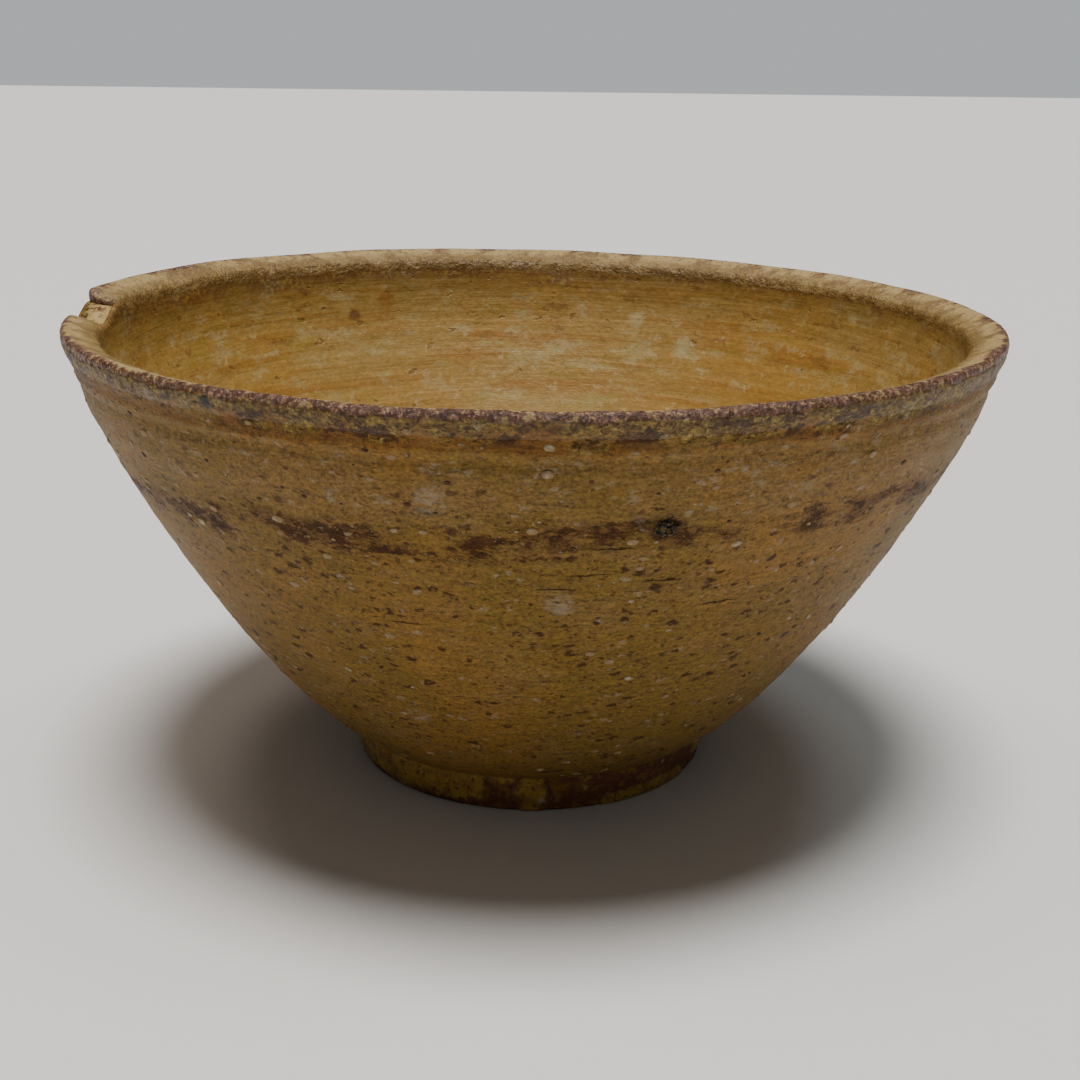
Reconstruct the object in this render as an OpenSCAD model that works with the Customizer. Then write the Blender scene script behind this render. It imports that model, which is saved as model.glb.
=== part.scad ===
// A thrown stoneware tea bowl: flared wall, bare foot ring, cut rim strip, thin ash glaze and
// stones in the clay. Millimetres, +Z up, origin at the middle of the resting face.

/* [Overall size] */
// Outside diameter of the mouth, across the lip
mouth_d = 145; // [120:1:170]
// Height from the resting face to the level part of the lip
height = 73; // [60:1:88]

/* [Wall] */
// Angle at which the wall leaves the foot ring, in degrees above level
foot_angle = 34; // [25:1:45]
// Fullness of the lower wall, as a share of the wall's slant
foot_pull = 0.27; // [0.18:0.01:0.33]
// Angle at which the wall reaches the lip, in degrees above level
lip_angle = 84; // [70:1:90]
// Fullness of the upper wall, as a share of the wall's slant
lip_pull = 0.12; // [0.06:0.01:0.2]
// Thickness of the wall with its glaze coats
wall_t = 5.5; // [4:0.5:7]
// Thickness of the floor at its middle, with the inner glaze coat
floor_t = 5; // [4:0.5:8]
// Diameter of the hollow in the floor where the last tea gathers
pool_d = 44; // [30:1:50]
// Depth of that hollow
pool_depth = 2; // [1:0.5:3]
// Distance of the turned groove below the lip
groove_drop = 6; // [5:0.5:9]
// Depth of the turned groove
groove_depth = 0.7; // [0.3:0.1:1.2]
// Width of the turned groove
groove_w = 4; // [2:0.5:6]

/* [Lip] */
// Height of the rim strip above its seat on the wall
strip_h = 2.2; // [1.5:0.1:3.5]
// Width of the rim strip from its inner to its outer edge
strip_w = 5.5; // [4.5:0.1:7]
// How far the rim strip stands out over the wall
strip_overhang = 0.4; // [0.2:0.1:0.8]
// Rounding of the strip's worn outer edge
edge_r = 0.9; // [0.5:0.1:1.2]
// Height left at the strip's inner edge
inner_edge_h = 0.5; // [0.3:0.1:1]
// Direction of the strip's low end, in degrees round from +X
low_end_az = 185; // [172:1:188]
// Angle of the gap between the strip's two ends
notch_sweep = 8; // [4:1:14]
// Extra height of the strip's far end over its low end
end_step = 2; // [0:0.1:3]

/* [Foot ring] */
// Outside diameter of the foot ring at its resting face
foot_d = 57.5; // [48:0.5:69]
// Height of the foot ring
foot_h = 6.5; // [5:0.5:10]
// Width of the foot ring at its resting face
foot_w = 6; // [4:0.5:8]
// How much the ring widens outwards from its resting face to the wall
foot_flare = 1; // [0:0.1:2]
// How much the ring widens inwards from its resting face to the wall
well_taper = 1.2; // [0.5:0.1:2]
// Rounding of the two edges of the resting face
foot_edge_r = 0.8; // [0.4:0.1:1.2]
// How far the wall stands out over the foot ring
foot_ledge = 0.9; // [0.7:0.1:1.5]
// Diameter of the trimmed nub under the middle of the floor
nub_d = 14; // [8:1:20]
// Height of the nub
nub_h = 1.8; // [1:0.1:2.5]

/* [Glaze] */
// Thickness of the glaze coats on the wall
glaze_t = 0.6; // [0.4:0.1:1]
// Thickness of the glaze runs on the foot ring
run_t = 0.5; // [0.3:0.1:0.6]

/* [Stones] */
// Number of white feldspar grains on the outside
feldspar_count = 22; // [10:1:30]
// Radius of the smallest feldspar grain
feldspar_r = 0.6; // [0.4:0.05:0.8]
// Number of dark iron grains on the outside
iron_count = 20; // [10:1:30]
// Radius of the smallest iron grain
iron_r = 0.5; // [0.4:0.05:0.7]
// Radius of the burst iron stone at the front
burst_r = 1.4; // [1:0.1:1.8]
// How far a grain's middle lies below the glaze, as a share of its radius
grain_sink = 0.4; // [0.2:0.05:0.6]

/* [Hidden] */
$fn = 180;
grain_fn = 24;
// The side is drawn in even steps up to the groove, with a grain only in the middle of a step, and
// in finer steps from there to the seat.
even_steps = 17;
fine_steps = 10;
fine_from = 0.85;
arc_steps = 8;
// Bulge of a quarter circle, as a share of its radius.
quarter_bulge = 1 - cos(45);

clay = [0.42, 0.24, 0.16];
worn_lip = [0.40, 0.22, 0.16];
ochre = [0.62, 0.45, 0.20];
warm_ochre = [0.70, 0.52, 0.26];
foot_yellow = [0.60, 0.44, 0.16];
white_stone = [0.86, 0.83, 0.74];
dark_stone = [0.16, 0.10, 0.08];

mouth_r = mouth_d / 2;
seat_z = height - strip_h;
seat_r = mouth_r - strip_overhang;
lip_inner_r = mouth_r - strip_w;
foot_top_r = foot_d / 2 + foot_flare;
well_top_r = foot_d / 2 - foot_w - well_taper;
floor_z = foot_h + floor_t;
groove_z = height - groove_drop;
far_end_az = low_end_az - notch_sweep;
lift_angle = asin(end_step / mouth_d);

// Glaze runs on the foot ring: direction of the first side, sweep, height of the lowest point.
foot_runs = [
  [178, 78, 1.2], [266, 9, 0.6], [283, 6, 3.8], [296, 30, 4.4], [338, 34, 2.0], [30, 52, 2.6],
  [104, 46, 1.6]
];

// The burst stone's direction and the step of the side that it sits in.
burst_az = 284;
burst_step = 15;

// A point at a distance and an angle.
function polar(distance, angle) = distance * [cos(angle), sin(angle)];

// A point on a cubic curve with end points a and d and handles b and c.
function cubic(a, b, c, d, t) =
  (1 - t) ^ 3 * a + 3 * (1 - t) ^ 2 * t * b + 3 * (1 - t) * t ^ 2 * c + t ^ 3 * d;

// Points on an arc from p to q. It bulges to the left of the way from p to q, or right if below 0.
function arc(p, q, bulge, steps = arc_steps) =
  let (
    chord = q - p,
    span = norm(chord),
    radius = (span ^ 2 / 4 + bulge ^ 2) / (2 * bulge),
    centre = (p + q) / 2 + (radius - bulge) / span * [chord.y, -chord.x],
    first = atan2(p.y - centre.y, p.x - centre.x),
    sweep = 2 * asin(span / 2 / radius)
  )
  [for (i = [0:steps]) centre + polar(abs(radius), first - sweep * i / steps)];

// The outside of the wall, as [radius, height], before and after the groove is turned.
side_foot = [foot_top_r + foot_ledge, foot_h];
side_seat = [seat_r, seat_z];
slant = norm(side_seat - side_foot);
low_handle = side_foot + polar(foot_pull * slant, foot_angle);
high_handle = side_seat - polar(lip_pull * slant, lip_angle);
function plain_side(t) = cubic(side_foot, low_handle, high_handle, side_seat, t);
function grooved(p) = p - [groove_depth * exp(-((p.y - groove_z) * 2 / groove_w) ^ 2), 0];
function side(t) = grooved(plain_side(t));

// The inside of the wall, from the tea hollow to the lip, follows the outside at the wall's thickness.
pool_edge = [pool_d / 2, floor_z + pool_depth];
inner_low_handle = low_handle + polar(wall_t, foot_angle + 90);
inner_high_handle = high_handle + polar(wall_t, lip_angle + 90);
function inside(t) = cubic(pool_edge, inner_low_handle, inner_high_handle, [lip_inner_r, seat_z], t);

// A line of points moved sideways by a depth, to the left (turn 1) or right (turn -1) of its way.
function moved(points, depth, turn, first, last) =
  let (end = len(points) - 1)
  [
    for (i = [0:end])
      let (along = points[min(i + 1, end)] - points[max(i - 1, 0)])
      points[i] + depth * (
        i == 0 ? first : i == end ? last : turn * [-along.y, along.x] / norm(along)
      )
  ];
function reversed(points) = [for (i = [len(points) - 1:-1:0]) points[i]];

side_rises = concat(
  [for (i = [0:even_steps - 1]) fine_from * i / even_steps],
  [for (i = [0:fine_steps]) fine_from + (1 - fine_from) * i / fine_steps]
);
outer_skin = [for (rise = side_rises) side(rise)];
outer_clay = moved(outer_skin, glaze_t, 1, [-1, 0], [-1, 0]);
whole_pool = arc([-pool_edge.x, pool_edge.y], pool_edge, -pool_depth, 2 * arc_steps);
half_pool = [for (i = [arc_steps + 1:2 * arc_steps - 1]) whole_pool[i]];
inner_skin = concat([[0, floor_z]], half_pool, [for (rise = side_rises) inside(rise)]);
inner_clay = moved(inner_skin, glaze_t, -1, [0, -1], [1, 0]);
nub_line = arc([0, foot_h - nub_h], [nub_d / 2, foot_h], -nub_h / 4);

// Where a grain sits: in the middle of a step of the side, with its own middle under the glaze.
function stone_at(step, radius) =
  let (
    below = outer_skin[step - 1],
    above = outer_skin[step],
    along = above - below
  )
  (below + above) / 2 + grain_sink * radius * [-along.y, along.x] / norm(along);

// Grains are spread by fixed strides that never line up: [direction, step of the side, radius].
function spread(i, stride) = (i * stride) % 1;
function direction(i, stride) = 8 + 344 * spread(i, stride);
function step_of(i, stride) = 2 + floor((even_steps - 2) * spread(i, stride));
feldspars = [
  for (i = [1:feldspar_count])
    [direction(i, 0.382), step_of(i, 0.755), feldspar_r * (1 + 0.6 * spread(i, 0.57))]
];
irons = concat(
  [[burst_az, burst_step, burst_r]],
  [
    for (i = [1:iron_count])
      [direction(i, 0.31), step_of(i, 0.63), iron_r * (1 + 0.6 * spread(i, 0.43))]
  ]
);

// Each stone is turned so that its poles and seam lie under the glaze, clear of its pocket's edge.
module stones(list) {
  for (stone = list) {
    place = stone_at(stone[1], stone[2]);
    rotate([0, 0, stone[0]])
      translate([place.x, 0, place.y])
        rotate([90, 180, 0])
          sphere(r = stone[2], $fn = grain_fn);
  }
}

// The rim strip's section, with a straight skirt of the given depth below its seat.
module strip_section(skirt) {
  worn = arc([mouth_r - edge_r, height], [mouth_r, height - edge_r], quarter_bulge * edge_r);
  polygon(
    concat(
      [[lip_inner_r, seat_z - skirt], [lip_inner_r, seat_z + inner_edge_h]],
      worn,
      [[seat_r, seat_z], [seat_r, seat_z - skirt]]
    )
  );
}

module bowl_wall() {
  color(clay)
    difference() {
      rotate_extrude()
        polygon(
          concat(
            [[0, foot_h - nub_h]],
            [for (i = [1:arc_steps]) nub_line[i]],
            outer_clay,
            reversed(inner_clay)
          )
        );
      stones(feldspars);
      stones(irons);
    }
}

module foot_ring() {
  outer_low = foot_d / 2;
  inner_low = foot_d / 2 - foot_w;
  color(clay)
    rotate_extrude()
      polygon(
        concat(
          arc([inner_low + foot_edge_r, 0], [inner_low, foot_edge_r], quarter_bulge * foot_edge_r),
          [[well_top_r, foot_h], [foot_top_r, foot_h]],
          arc([outer_low, foot_edge_r], [outer_low - foot_edge_r, 0], quarter_bulge * foot_edge_r)
        )
      );
}

module rim_strip() {
  color(worn_lip) {
    rotate_extrude(angle = 360 - low_end_az, start = low_end_az)
      strip_section(0);
    // The other half is tipped up about the +X side, so that its end stands over the low end.
    difference() {
      translate([mouth_r, 0, seat_z])
        rotate([0, lift_angle, 0])
          translate([-mouth_r, 0, -seat_z])
            rotate_extrude(angle = far_end_az, start = 0)
              strip_section(end_step + 1);
      translate([-mouth_d, -mouth_d, seat_z - height])
        cube([2 * mouth_d, 2 * mouth_d, height]);
    }
  }
}

module outer_glaze() {
  color(ochre)
    difference() {
      rotate_extrude()
        polygon(concat(outer_skin, reversed(outer_clay)));
      stones(feldspars);
      stones(irons);
    }
}

module inner_glaze() {
  color(warm_ochre)
    rotate_extrude()
      polygon(concat(inner_skin, reversed(inner_clay)));
}

module foot_glaze() {
  slope = (foot_top_r - foot_d / 2) / (foot_h - foot_edge_r);
  color(foot_yellow)
    for (run = foot_runs) {
      low_z = max(run[2], foot_edge_r);
      low_r = foot_d / 2 + slope * (low_z - foot_edge_r);
      rotate_extrude(angle = run[1], start = run[0])
        polygon([[low_r, low_z], [low_r + run_t, low_z], [foot_top_r + run_t, foot_h], [foot_top_r, foot_h]]);
    }
}

module feldspar_grains() {
  color(white_stone)
    stones(feldspars);
}

module iron_grains() {
  color(dark_stone)
    stones(irons);
}

bowl_wall();
foot_ring();
rim_strip();
outer_glaze();
inner_glaze();
foot_glaze();
feldspar_grains();
iron_grains();
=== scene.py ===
"""A hand-thrown stoneware tea bowl: coarse clay, a bare foot, a cut rim strip and an ochre ash glaze."""

import math

import bmesh
import bpy
import numpy as np
from mathutils import Matrix, Vector
from mathutils.bvhtree import BVHTree


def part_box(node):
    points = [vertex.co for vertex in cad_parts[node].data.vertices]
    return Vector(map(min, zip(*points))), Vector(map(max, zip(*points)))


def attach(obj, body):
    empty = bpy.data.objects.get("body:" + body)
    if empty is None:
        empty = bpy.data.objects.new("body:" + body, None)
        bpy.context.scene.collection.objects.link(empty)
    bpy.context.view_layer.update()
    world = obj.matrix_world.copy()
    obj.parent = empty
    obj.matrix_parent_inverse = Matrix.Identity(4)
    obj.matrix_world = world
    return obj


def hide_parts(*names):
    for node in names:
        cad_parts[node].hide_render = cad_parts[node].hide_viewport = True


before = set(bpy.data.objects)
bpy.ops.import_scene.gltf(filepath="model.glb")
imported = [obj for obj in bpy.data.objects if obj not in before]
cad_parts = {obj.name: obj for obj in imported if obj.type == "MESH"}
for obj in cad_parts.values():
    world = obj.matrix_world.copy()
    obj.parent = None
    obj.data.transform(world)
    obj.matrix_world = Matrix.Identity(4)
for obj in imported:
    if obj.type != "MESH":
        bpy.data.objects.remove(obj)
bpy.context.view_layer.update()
MM = 0.001

# Where things are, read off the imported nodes.
STRIP_LOW, STRIP_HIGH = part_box("rim_strip")
GLAZE_LOW, GLAZE_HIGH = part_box("outer_glaze")
_, FOOT_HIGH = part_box("foot_ring")
MOUTH_R = STRIP_HIGH.x
SEAT_Z = STRIP_LOW.z
FOOT_TOP_Z = FOOT_HIGH.z

# Heights on the outside, from the lip down.
CRUST_Z = 70.0 * MM
RIDGE_Z = 67.3 * MM
LIP_ZONE_Z = 66.0 * MM
STREAK_Z = 54.9 * MM

# Hand-made unevenness: depths and spacings.
OUT_OF_ROUND = 0.5 * MM
LIP_WAVE = 0.4 * MM
LIP_CRUMBS = 0.22 * MM
OUTER_RING_DEPTH = 0.22 * MM
OUTER_RING_GAP = 3.4 * MM
INNER_RING_DEPTH = 0.24 * MM
INNER_RING_GAP = 4.5 * MM
RIDGE_DEPTH = 0.22 * MM
SKIN_LUMP = 0.14 * MM

# The rim strip's low end and the gap before its far end, in radians, and the step between them.
LOW_END = math.radians(185)
END_GAP = math.radians(8)
END_STEP = 2 * MM
# How many times the strip's corners are softened, and how closely its stations crowd at its ends.
STRIP_WEAR = 14
END_CROWDING = 0.13

# The glaze's thickness, how far the burst stone is sunk, and its crater's depth.
COAT = 0.6 * MM
BURST_SUNK = 0.7 * MM
CRATER_DEPTH = 0.4 * MM

# Points closer than this are one point. A piece is pushed away from a point this high over the foot.
SAME_POINT = 0.002 * MM
OVER_MOUTH = 90 * MM


class Wire:
    """One output of a node. A sum written on it adds its Math nodes to the same recipe."""

    def __init__(self, recipe, socket):
        self.recipe = recipe
        self.socket = socket

    def maths(self, operation, *others):
        return self.recipe.add("ShaderNodeMath", {"operation": operation}, dict(enumerate([self, *others])))

    def __add__(self, other):
        return self.maths("ADD", other)

    def __mul__(self, other):
        return self.maths("MULTIPLY", other)

    def __sub__(self, other):
        return self.maths("SUBTRACT", other)

    def __truediv__(self, other):
        return self.maths("DIVIDE", other)

    def __pow__(self, other):
        return self.maths("POWER", other)

    def __rsub__(self, other):
        return (self * -1) + other

    def also(self, name):
        """Another output of the same node."""
        return Wire(self.recipe, self.socket.node.outputs[name])

    __radd__ = __add__
    __rmul__ = __mul__


class Recipe:
    """A node tree that is filled through one method, add()."""

    def __init__(self, tree):
        self.tree = tree

    def add(self, kind, settings=None, sockets=None, out=0):
        """Adds a node, sets its settings, then its sockets' values or links, and returns one output."""
        node = self.tree.nodes.new(kind)
        for name, value in (settings or {}).items():
            setattr(node, name, value)
        for name, value in (sockets or {}).items():
            if isinstance(value, Wire):
                self.tree.links.new(value.socket, node.inputs[name])
            else:
                node.inputs[name].default_value = value
        return Wire(self, node.outputs[out])

    def noise(self, place, size, detail=2.0, rough=0.5, out=0):
        """Soft noise from 0 to 1, with features of about the given size, or a wire of 1 / size."""
        scale = size if isinstance(size, Wire) else 1 / size
        sockets = {"Vector": place, "Scale": scale, "Detail": detail, "Roughness": rough}
        return self.add("ShaderNodeTexNoise", None, sockets, out)

    def vectors(self, operation, first, second, out=0):
        """A Vector Math node on two vectors."""
        return self.add("ShaderNodeVectorMath", {"operation": operation}, {0: first, 1: second}, out)

    def stretch(self, place, x, y, z):
        return self.vectors("MULTIPLY", place, (x, y, z))

    def shift(self, place, x, y, z):
        return self.vectors("ADD", place, (x, y, z))

    def scaled(self, vector, strength):
        """A vector made longer or shorter, or a colour made lighter or darker."""
        return self.add("ShaderNodeVectorMath", {"operation": "SCALE"}, {0: vector, "Scale": strength})

    def unit(self, vector):
        """A vector's way, with a length of 1."""
        return self.add("ShaderNodeVectorMath", {"operation": "NORMALIZE"}, {0: vector})

    def joined(self, *parts):
        """Several geometries as one."""
        node = self.tree.nodes.new("GeometryNodeJoinGeometry")
        for part in parts:
            self.tree.links.new(part.socket, node.inputs[0])
        return Wire(self, node.outputs[0])

    def split(self, place):
        """The three numbers of a vector."""
        x = self.add("ShaderNodeSeparateXYZ", None, {0: place})
        return x, x.also("Y"), x.also("Z")

    def join(self, x, y, z):
        return self.add("ShaderNodeCombineXYZ", None, {0: x, 1: y, 2: z})

    def ease(self, value, low, high, bottom=0.0, top=1.0):
        """Rises smoothly from bottom to top as value goes from low to high."""
        sockets = {0: value, 1: low, 2: high, 3: bottom, 4: top}
        return self.add("ShaderNodeMapRange", {"interpolation_type": "SMOOTHSTEP"}, sockets)

    def blend(self, share, first, second):
        """Mixes two colours, each a wire or three numbers."""
        colours = [c if isinstance(c, Wire) else (*c, 1.0) for c in (first, second)]
        sockets = {0: share, 6: colours[0], 7: colours[1]}
        return self.add("ShaderNodeMix", {"data_type": "RGBA"}, sockets, out=2)

    def specks(self, place, cell, share, small, large):
        """Scattered dots, 1 inside and 0 outside. A share of the cells holds one, of a random radius."""
        sockets = {"Vector": place, "Scale": 1 / cell}
        away = self.add("ShaderNodeTexVoronoi", None, sockets)
        luck, size, _ = self.split(away.also("Color"))
        radius = (size ** 2.0 * (large - small) + small) / cell
        inside = self.ease(away / radius, 1.15, 0.65)
        return inside * luck.maths("LESS_THAN", share)

    def warp(self, place, size, reach):
        """The place pushed about by noise, which makes round marks ragged."""
        push = self.noise(place, size, 2, 0.6, out="Color")
        centred = self.shift(push, -0.5, -0.5, -0.5)
        return self.vectors("ADD", place, self.scaled(centred, reach * 2))

    def spot(self, place, middle, radius):
        """A soft spot round a point, 1 in its middle."""
        away = self.vectors("DISTANCE", place, middle, "Value")
        return self.ease(away, radius, radius * 0.35)


# The camera, at the eye of someone seated before the bowl.
CAMERA_LENS = 52.8
CAMERA_PITCH = 17.32
CAMERA_ROLL = 0.7
CAMERA_YAW = -0.29
CAMERA_BACK = 249.8 * MM
CAMERA_UP = 112.9 * MM


def set_up_camera():
    camera = bpy.data.objects.new("Camera", bpy.data.cameras.new("Camera"))
    bpy.context.scene.collection.objects.link(camera)
    camera.data.lens = CAMERA_LENS
    camera.data.sensor_width = 36.0
    camera.data.clip_start = 0.01
    camera.data.clip_end = 20.0
    turn = Matrix.Rotation(math.radians(CAMERA_YAW), 4, "Z")
    tilt = Matrix.Rotation(math.radians(90 - CAMERA_PITCH), 4, "X")
    roll = Matrix.Rotation(math.radians(CAMERA_ROLL), 4, "Z")
    camera.matrix_world = Matrix.Translation((0, -CAMERA_BACK, CAMERA_UP)) @ turn @ tilt @ roll
    bpy.context.scene.camera = camera


set_up_camera()


# Sections of the pieces, as [radius, height] points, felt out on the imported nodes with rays.

def feeler(node):
    """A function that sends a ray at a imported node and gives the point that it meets."""
    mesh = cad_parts[node].data
    tree = BVHTree.FromPolygons([v.co for v in mesh.vertices], [p.vertices for p in mesh.polygons])
    return lambda start, way: tree.ray_cast(Vector(start), Vector(way))[0]


def even(points, count):
    """The same line with count evenly spaced points."""
    points = np.asarray(points, float)
    steps = np.linalg.norm(np.diff(points, axis=0), axis=1)
    along = np.concatenate([[0.0], np.cumsum(steps)])
    wanted = np.linspace(0, along[-1], count)
    return np.stack([np.interp(wanted, along, points[:, k]) for k in (0, 1)], axis=1)


def softened(points, passes):
    """The same line with its corners worn down and its ends kept."""
    points = points.copy()
    for _ in range(passes):
        points[1:-1] = (points[:-2] + 2 * points[1:-1] + points[2:]) / 4
    return points


def outside_line(count):
    """The outside of the wall, from the foot up to the strip's seat."""
    feel = feeler("outer_glaze")
    line = []
    for z in np.linspace(GLAZE_LOW.z + 0.02 * MM, GLAZE_HIGH.z - 0.02 * MM, 600):
        line.append((feel((0.2, 0, z), (-1, 0, 0)).x, z))
    line.append((line[-1][0], SEAT_Z))
    return softened(even(line, count), 12)


def inside_line(count):
    """The inside of the bowl, from the middle of the floor up to the strip's seat."""
    feel = feeler("inner_glaze")
    line = []
    for dip in np.radians(np.linspace(90, 0.3, 600)):
        point = feel((0, 0, SEAT_Z), (math.cos(dip), 0, -math.sin(dip)))
        line.append((max(point.x, 0.0), point.z))
    line.append((line[-1][0], SEAT_Z))
    return softened(even(line, count), 12)


def strip_top_line(count):
    """The top of the rim strip on its level half, from the inner edge to the outer one."""
    feel = feeler("rim_strip")
    inner = feel((0, 0, SEAT_Z + 0.2 * MM), (0, -1, 0)).y * -1
    line = []
    for r in np.linspace(inner + 0.02 * MM, -STRIP_LOW.y - 0.03 * MM, 200):
        line.append((r, feel((0, -r, 0.2), (0, 0, -1)).z))
    return even(line, count)


def foot_lines(count):
    """The outer and the inner side of the foot ring, from the resting face up."""
    feel = feeler("foot_ring")
    outer, inner = [], []
    for z in np.linspace(0.02 * MM, FOOT_TOP_Z - 0.02 * MM, 200):
        outer.append((feel((0.2, 0, z), (-1, 0, 0)).x, z))
        inner.append((feel((0, 0, z), (1, 0, 0)).x, z))
    return even(outer, count), even(inner, count)


def under_line(count):
    """The trimmed underside of the wall inside the foot, from the middle out to the ring."""
    feel = feeler("bowl_wall")
    line = [(r, feel((r, 0, -0.1), (0, 0, 1)).z) for r in np.linspace(0, FOOT_HIGH.x, 200)]
    return even(line, count)


outside = outside_line(150)
inside = inside_line(120)


def on_line(line, right_of_front, z):
    """The point of a turned line at an angle right of the front, in degrees, and a height in mm."""
    radius = np.interp(z * MM, line[:, 1], line[:, 0])
    angle = math.radians(right_of_front)
    return Vector((radius * math.sin(angle), -radius * math.cos(angle), z * MM))


def lip_point(turn):
    """The middle of the strip's top at a turn from +X."""
    radius = MOUTH_R - 2.5 * MM
    return Vector((radius * math.cos(turn), radius * math.sin(turn), STRIP_LOW.z + 2 * MM))


# The burst stone's crater at the front, and the middle of the stone that is sunk in it.
BURST = on_line(outside, 14.0, 57.5)
BURST_SEAT = BURST * (1 - BURST_SUNK / BURST.length)

# Where glaze has run down the foot: degrees right of the front, half its width, lowest and highest mm.
FOOT_RUNS = (
    (-53, 40, 0.9, 9),
    (-9, 6, 4.9, 9),
    (0.3, 4.6, -1, 9),
    (17, 2.2, 3.0, 9),
    (41, 19, -1, 2.3),
    (84, 20, 2.0, 9),
    (145, 26, 1.6, 9),
    (180, 8, 3.8, 9),
    (-143, 24, 2.6, 9),
)


# Rubbed spots of the outside: degrees right of the front, height and radius in mm.
RUBBED_SPOTS = ((-10.4, 60.8, 3.2), (3.4, 45.3, 2.8), (-20, 22.3, 2.4), (-43, 70, 1.6))

# Hairline tears of the outside: degrees right of the front and height in mm, and how drawn out they are.
TEARS = ((6.5, 50.2), (15.0, 48.8), (3.0, 47.9), (-38, 52), (24, 44), (-16, 41), (8.8, 54.2))
TEAR_STRETCH = 0.045


# How a section becomes a piece: it is turned on the wheel, then takes the unevenness of the hand.

def bell(recipe, value, middle, width):
    """A smooth bump of height 1 round a middle value."""
    away = ((value - middle) / width).maths("ABSOLUTE")
    return recipe.ease(away, 1.0, 0.0)


def way_out(recipe, place):
    """The way out through the wall, from a point over the middle of the mouth."""
    return recipe.unit(recipe.shift(place, 0, 0, -OVER_MOUTH))


def run_cover(recipe, place):
    """1 where a glaze run covers the foot, 0 where the clay is bare, with ragged borders."""
    ragged = recipe.noise(place, 2.0 * MM, 4, 0.7)
    x, y, z = recipe.split(place)
    level = recipe.unit(recipe.join(x, y, 0))
    cover = 0
    for middle, half, low, high in FOOT_RUNS:
        angle = math.radians(middle)
        way = (math.sin(angle), -math.cos(angle), 0)
        straight = recipe.vectors("DOT_PRODUCT", level, way, "Value")
        aside = straight.maths("MINIMUM", 1.0).maths("ARCCOSINE") + (ragged - 0.5) * 0.2
        edge = math.radians(half)
        height = z + (ragged - 0.5) * 4 * MM
        run = recipe.ease(aside, edge + 0.07, edge - 0.05)
        run = run * recipe.ease(height, (low - 1.1) * MM, (low + 0.9) * MM)
        run = run * recipe.ease(height, (high + 0.9) * MM, (high - 0.9) * MM)
        cover = run.maths("MAXIMUM", cover)
    return cover


def hand_unevenness(recipe, place, given):
    """How far each point of a turned piece is pushed from its true place."""
    x, y, z = recipe.split(place)
    below_lip = recipe.ease(z, LIP_ZONE_Z + 4 * MM, LIP_ZONE_Z)
    broad = recipe.noise(recipe.stretch(place, 1, 1, 0.3), 90 * MM, 0.0)
    push = (broad - 0.5) * 2 * OUT_OF_ROUND * recipe.ease(z, 0.0, MOUTH_R)

    # Throwing rings, a ridge under the lip, lumps of the skin and crumbs of the crust.
    rings = recipe.noise(recipe.stretch(place, 0.022, 0.022, 1), given["Ring gap"], 2, 0.55)
    push = push + (rings - 0.5) * 2 * given["Ring depth"] * below_lip
    ridge_z = RIDGE_Z + (broad - 0.5) * 3 * MM
    ridge = bell(recipe, z, ridge_z, 0.9 * MM) - bell(recipe, z, ridge_z - 1.5 * MM, 1.1 * MM)
    push = push + ridge * given["Ridge depth"]
    lumps = recipe.noise(place, 2.4 * MM, 3)
    push = push + (lumps - 0.5) * 2 * given["Skin lumps"]
    push = push * recipe.ease(z, 0.0, 1.5 * MM, 0.1, 1.0)
    push = push + (run_cover(recipe, place) * 2 - 1) * given["Run depth"]
    lip = recipe.ease(z, LIP_ZONE_Z, SEAT_Z)
    crumbs = recipe.noise(place, 1.7 * MM, 2, 0.6)
    push = push + (crumbs - 0.5) * 2 * LIP_CRUMBS * lip

    # The burst stone's crater, with a low rim.
    from_burst = recipe.vectors("DISTANCE", place, BURST, "Value")
    push = push - recipe.ease(from_burst, 2.2 * MM, 0.8 * MM) * CRATER_DEPTH
    push = push + bell(recipe, from_burst, 2.6 * MM, 0.9 * MM) * CRATER_DEPTH / 2

    wave = recipe.noise(recipe.stretch(place, 1, 1, 0), 24 * MM, 2)
    lift = (wave - 0.5) * 2 * LIP_WAVE * lip

    # The back of the lip climbs to the strip's far end, and falls again to its low end.
    round_back = (y * -1).maths("ARCTAN2", x * -1) + math.pi
    climb = (1 - round_back.maths("COSINE")) / 2
    climb = climb * recipe.ease(round_back, LOW_END - 0.03, LOW_END - 0.155)
    lift = lift + climb * recipe.ease(z, SEAT_Z - 9 * MM, SEAT_Z) * END_STEP
    return recipe.vectors("ADD", recipe.scaled(way_out(recipe, place), push), recipe.join(0, 0, lift))


def new_tree(name, inputs):
    """A Geometry Nodes tree with named inputs: its recipe, its input wires and their identifiers."""
    tree = bpy.data.node_groups.new(name, "GeometryNodeTree")
    tree.interface.new_socket("Geometry", in_out="INPUT", socket_type="NodeSocketGeometry")
    tree.interface.new_socket("Geometry", in_out="OUTPUT", socket_type="NodeSocketGeometry")
    keys = {}
    for label, kind in inputs.items():
        keys[label] = tree.interface.new_socket(label, in_out="INPUT", socket_type=kind).identifier
    recipe = Recipe(tree)
    node = tree.nodes.new("NodeGroupInput")
    wires = {socket.name: Wire(recipe, socket) for socket in node.outputs if socket.name}
    return recipe, wires, keys


def end_tree(recipe, geometry, material):
    """Ends a tree with Realize Instances and Set Material."""
    real = recipe.add("GeometryNodeRealizeInstances", None, {0: geometry})
    done = recipe.add("GeometryNodeSetMaterial", None, {"Geometry": real, "Material": material})
    recipe.tree.links.new(done.socket, recipe.tree.nodes.new("NodeGroupOutput").inputs[0])


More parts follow.
